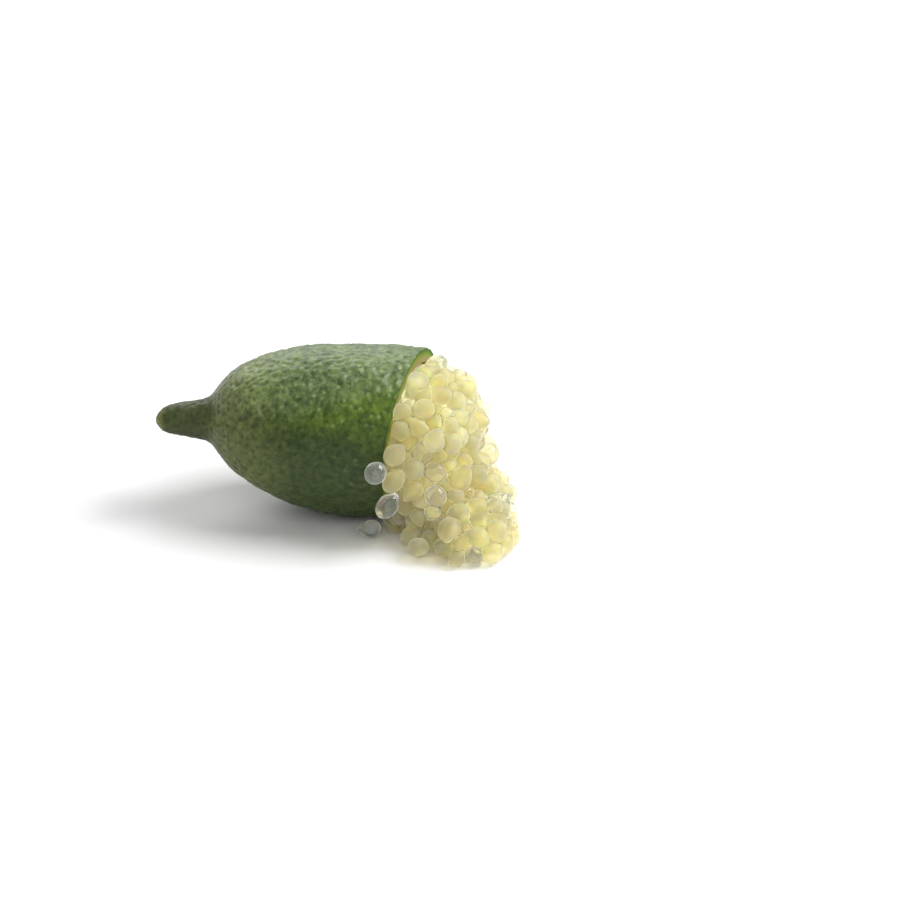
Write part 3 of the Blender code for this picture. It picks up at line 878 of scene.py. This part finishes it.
def press_flat(points, own, places, radii):
    """Flattens a pearl where its neighbours and the floor press on it."""
    place, radius = places[own], radii[own]
    gaps = np.linalg.norm(places - place, axis=1)
    for other in np.flatnonzero((gaps < (radii + radius) * NEIGHBOUR_REACH) & (gaps > 0.0)):
        gap = gaps[other]
        way = (places[other] - place) / gap
        middle = (gap * gap + radius**2 - radii[other] ** 2) / (2.0 * gap) - PRESS_GAP
        past = (points - place) @ way - middle
        # A rounded clamp: points well past the plane come back to it, and those near it ease in.
        eased = 0.5 * (past + np.sqrt(past * past + PRESS_ROUND**2))
        points -= eased[:, None] * way
    rest_on_peel(points, place)
    points[:, 1] = np.maximum(points[:, 1], CAD_BOX[0].y)
    points[:, 2] = np.maximum(points[:, 2], FLOOR_GAP)


def drop_kinds():
    """The shapes that pearls come in."""
    return [
        shape_drop("round_drop", narrow=0.97, tail=0.03, squash=1.0),
        shape_drop("egg_drop", narrow=0.88, tail=0.12, squash=0.97, stretch=1.08),
        shape_drop("tailed_drop", narrow=0.8, tail=0.28, squash=1.0),
        shape_drop("flat_drop", narrow=0.93, tail=0.05, squash=0.88, stretch=1.1),
        shape_drop("long_drop", narrow=0.9, tail=0.1, squash=0.92, stretch=1.28),
    ]


def pearl_look(draw, layer, finishes):
    """A pearl's look: its layer's own, or else mostly cloudy and now and then clear."""
    if layer in finishes:
        return layer
    return "clear" if draw.random() < CLEAR_SHARE else "cloudy"


def join_pearls(look, copies, finish):
    """Joins all the pearls of one look in one piece."""
    deselect_all()
    for copy in copies:
        copy.select_set(True)
    bpy.context.view_layer.objects.active = copies[0]
    bpy.ops.object.join()
    heap = bpy.context.object
    heap.name = f"pearls_{look}"
    finish.wear(heap)
    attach(heap, "root")
    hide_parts("pearl_heap")


def make_pearls(finishes):
    """Lays every pearl of the heap, each its own shape and tint, and presses it against its neighbours."""
    draw = random.Random(SEED)
    places, radii, layers = settle_pearls(draw)
    kinds = drop_kinds()
    heaps = {name: [] for name in finishes}
    for own, (place, radius, layer) in enumerate(zip(places, radii, layers)):
        kind = draw.choice(kinds)
        way = Vector([draw.gauss(0.0, 1.0) for _ in range(3)]).normalized()
        # Pearls low in the heap lean towards the deep colour
        deep = WARM_BELOW_SHARE * (1.0 - smooth_step(*WARM_BELOW, place[2]))
        tint = draw.random()
        blush = max(0.0, draw.gauss(deep + BLUSH_MIDDLE, BLUSH_SPREAD))
        look = pearl_look(draw, layer, finishes)
        copy = kind.copy()
        copy.data = kind.data.copy()
        bpy.context.scene.collection.objects.link(copy)
        copy.data.transform(laid(place, way, radius))
        points = points_of(copy.data)
        press_flat(points, own, places, radii)
        set_points(copy.data, points)
        tint_all(copy.data, tint, min(1.0, blush))
        heaps[look].append(copy)
    for kind in kinds:
        bpy.data.objects.remove(kind)
    for look, copies in heaps.items():
        join_pearls(look, copies, finishes[look])


def draw_plug():
    """A plug of pearls that follows the peel's lining from its inner end to just short of the cut."""
    deselect_all()
    station, radius = PLUG_START, peel_radius(PLUG_START) - WALL - PLUG_GAP
    bpy.ops.mesh.primitive_circle_add(
        vertices=PLUG_SIDES,
        radius=radius,
        fill_type="NGON",
        location=(station, 0.0, 0.0),
        rotation=(0.0, math.pi / 2, 0.0),
    )
    plug = bpy.context.object
    plug.name = "pearl_core"
    bpy.ops.object.transform_apply(location=True, rotation=True, scale=True)
    bpy.ops.object.mode_set(mode="EDIT")
    bpy.ops.mesh.select_all(action="SELECT")
    for number in range(1, PLUG_STEPS + 1):
        after = PLUG_START + (CUT_STATION - PLUG_START) * number / PLUG_STEPS
        next_radius = peel_radius(after) - WALL - PLUG_GAP
        size = next_radius / radius
        bpy.ops.mesh.extrude_region_move(TRANSFORM_OT_translate={"value": (after - station, 0.0, 0.0)})
        bpy.ops.transform.resize(value=(1.0, size, size), center_override=(after, 0.0, 0.0))
        station, radius = after, next_radius
    bpy.ops.mesh.select_all(action="SELECT")
    bpy.ops.mesh.normals_make_consistent(inside=False)
    bpy.ops.object.mode_set(mode="OBJECT")
    for vertex in plug.data.vertices:
        station, side, up = vertex.co
        spoke = math.hypot(side, up)
        depth = WALL + PLUG_GAP
        met = lean_into_cut(station, depth, up / spoke, side / spoke)
        reach = (peel_radius(met) - depth) / spoke
        vertex.co = (met - BELLY_STATION - PLUG_SETBACK, side * reach, up * reach + axis_height(met))
    return plug


def make_core(finish):
    """The pressed mass of pearls under the heap's surface and in the peel's mouth."""
    forms = []
    for number, (centre, half) in enumerate(CORE_FORMS):
        deselect_all()
        size = [extent - CORE_INSET for extent in half]
        bpy.ops.mesh.primitive_uv_sphere_add(segments=CORE_SEGMENTS, ring_count=CORE_RINGS, radius=1.0)
        form = bpy.context.object
        form.data.transform(Matrix.Translation(centre) @ Matrix.Diagonal((*size, 1.0)))
        for vertex in form.data.vertices:
            vertex.co.z = max(vertex.co.z, CORE_LOWEST + number * CORE_STEP)
        forms.append(form)
    core = draw_plug()
    for form in forms:
        apply_modifier(core, "BOOLEAN", operation="UNION", solver="EXACT", object=form)
        bpy.data.objects.remove(form)
    core.data.shade_smooth()
    tint_all(core.data, CORE_TINT, CORE_BLUSH)
    finish.wear(core)
    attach(core, "root")
    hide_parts("pearl_heap")


def make_loose_pearl(finish):
    drop = shape_drop("loose_drop", narrow=0.86, tail=0.3, squash=0.96)
    drop.data.transform(laid(LOOSE_PLACE, LOOSE_WAY, LOOSE_RADIUS))
    for vertex in drop.data.vertices:
        vertex.co.z = max(vertex.co.z, FLOOR_GAP)
    tint_all(drop.data, LOOSE_TINT, 0.0)
    finish.wear(drop)
    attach(drop, "root")
    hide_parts("loose_pearl")


def make_stage():
    deselect_all()
    bpy.ops.mesh.primitive_plane_add(size=FLOOR_SIZE)
    floor = bpy.context.object
    floor.name = "floor"
    Finish("floor_white", Base_Color=(FLOOR_GREY,) * 3, Roughness=0.7).wear(floor)
    world = bpy.data.worlds.new("studio")
    world.use_nodes = True
    bpy.context.scene.world = world
    room = world.node_tree.nodes["Background"]
    room.inputs["Color"].default_value = (1.0, 1.0, 1.0, 1.0)
    room.inputs["Strength"].default_value = ROOM_LIGHT


def add_lights():
    for name, place, size, power in SOFTBOXES:
        light = bpy.data.lights.new(name, "AREA")
        light.shape = "RECTANGLE"
        light.size, light.size_y = size
        light.energy = power
        softbox = bpy.data.objects.new(name, light)
        softbox.location = place
        towards = Vector(LIGHT_AIM) - Vector(place)
        softbox.rotation_euler = towards.to_track_quat("-Z", "Y").to_euler()
        bpy.context.scene.collection.objects.link(softbox)


def add_camera():
    camera = bpy.data.objects.new("camera", bpy.data.cameras.new("camera"))
    camera.location = CAMERA_PLACE
    camera.rotation_euler = (CAMERA_TILT, 0.0, 0.0)
    camera.data.lens = LENS_LENGTH
    camera.data.sensor_width = FILM_WIDTH
    camera.data.clip_start = NEAREST_SEEN
    bpy.context.scene.collection.objects.link(camera)
    bpy.context.scene.camera = camera


def main():
    bpy.context.scene.view_settings.view_transform = "Standard"
    make_stage()
    add_lights()
    add_camera()
    inner = glowing_inner_pearls()
    glass = glass_pearls()
    make_pearls({"cloudy": cloudy_pearls(), "clear": clear_pearls(), "glass": glass, "inner": inner})
    # The core wears the inner pearls' finish, so it carries the same painted glow
    make_core(inner)
    make_loose_pearl(glass)
    make_peel(skin_finish())


main()
